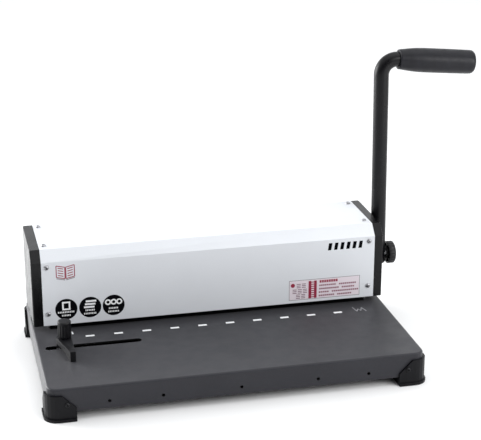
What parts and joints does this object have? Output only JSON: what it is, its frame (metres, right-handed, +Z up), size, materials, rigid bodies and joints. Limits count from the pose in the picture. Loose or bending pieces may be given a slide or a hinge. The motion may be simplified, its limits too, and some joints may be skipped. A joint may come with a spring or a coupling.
{
  "type": "manual wire binding machine",
  "caption": "Desktop wire-loop punching and binding machine: cranked side lever, covered punch and die over a flat table, sliding paper guide, pull-out chip tray, rear wire closer.",
  "frame": {"origin": "bottom centre of the whole machine's box, feet and grip included; the table's middle is 0.0548 m to its left", "axes": "+X to the operator's right, towards the handle; +Y from the operator to the back; +Z up"},
  "size_m": [0.4896, 0.2346, 0.2944],
  "materials": {
    "table_paint": "dark grey textured powder coat",
    "cap_paint": "black semi-matt powder coat",
    "cover_paint": "white satin powder coat",
    "rod_paint": "black satin paint",
    "foot_plastic": "matt moulded black",
    "moulded_plastic": "satin moulded black",
    "grip_rubber": "soft matt black",
    "steel": "machined",
    "ground_steel": "ground and bright",
    "dark_steel": "black oxide",
    "screw_plating": "nickel plated",
    "black_screw": "black oxide",
    "bush_bronze": "oiled sintered bronze"
  },
  "bodies": {
    "machine": {"base_table": "table_paint", "base_plate": "dark_steel", "foot_front_left": "foot_plastic", "foot_front_right": "foot_plastic", "foot_rear_left": "foot_plastic", "foot_rear_right": "foot_plastic", "foot_screw_front_left": "black_screw", "foot_screw_front_right": "black_screw", "foot_screw_rear_left": "black_screw", "foot_screw_rear_right": "black_screw", "end_cap_left": "cap_paint", "end_cap_right": "cap_paint", "side_frame_left": "steel", "side_frame_right": "steel", "shaft_bush_left": "bush_bronze", "shaft_bush_right": "bush_bronze", "guide_post_left": "ground_steel", "guide_post_right": "ground_steel", "return_spring_left": "steel", "return_spring_right": "steel", "top_cover": "cover_paint", "rear_cover": "cap_paint", "cover_screw_left_1": "screw_plating", "cover_screw_left_2": "screw_plating", "cover_screw_left_3": "screw_plating", "cover_screw_left_4": "screw_plating", "cover_screw_right_1": "screw_plating", "cover_screw_right_2": "screw_plating", "cover_screw_right_3": "screw_plating", "cover_screw_right_4": "screw_plating", "die_plate": "steel", "punch_guide_plate": "steel", "die_spacer_left": "steel", "die_spacer_right": "steel", "paper_depth_stop": "steel", "die_rail_front": "steel", "die_rail_rear": "steel", "upper_tie_bar": "steel", "closer_anvil": "steel"},
    "handle_lever": {"drive_shaft": "ground_steel", "shaft_collar": "dark_steel", "drive_pinion_left": "steel", "drive_pinion_right": "steel", "handle_rod": "rod_paint", "handle_grip": "grip_rubber"},
    "clamp_knob": {"handle_clamp_knob": "moulded_plastic"},
    "punch_carriage": {"punch_beam": "steel", "punch_row": "steel", "drive_rack_left": "steel", "drive_rack_right": "steel", "closer_jaw": "steel"},
    "paper_guide": {"edge_guide": "moulded_plastic", "guide_clamp_plate": "steel"},
    "paper_guide_knob": {"guide_knob": "moulded_plastic"},
    "tray": {"chip_tray": "moulded_plastic"}
  },
  "joints": [
    {"name": "handle_swing", "type": "hinge", "parent": "machine", "child": "handle_lever", "pos_m": [0.14125, 0.0693, 0.0695], "axis": [1, 0, 0], "range_deg": [0, 75]},
    {"name": "punch_slide", "type": "slide", "parent": "machine", "child": "punch_carriage", "axis": [0, 0, -1], "range_m": [0, 0.0132], "stiffness_N_per_m": 5000, "springref_m": -0.008, "deforming": ["return_spring_left", "return_spring_right"]},
    {"name": "clamp_knob_turn", "type": "hinge", "parent": "handle_lever", "child": "clamp_knob", "pos_m": [0.14125, 0.0693, 0.0695], "axis": [1, 0, 0], "range_deg": [0, 180]},
    {"name": "guide_slide", "type": "slide", "parent": "machine", "child": "paper_guide", "axis": [1, 0, 0], "range_m": [-0.011, 0.07]},
    {"name": "guide_knob_turn", "type": "hinge", "parent": "paper_guide", "child": "paper_guide_knob", "pos_m": [-0.21325, -0.019, 0.052], "axis": [0, 0, 1], "range_deg": [0, 180]},
    {"name": "tray_slide", "type": "slide", "parent": "machine", "child": "tray", "axis": [1, 0, 0], "range_m": [0, 0.25]}
  ],
  "couplings": [
    {"joint": "punch_slide", "follows": "handle_swing", "m_per_rad": 0.01}
  ]
}
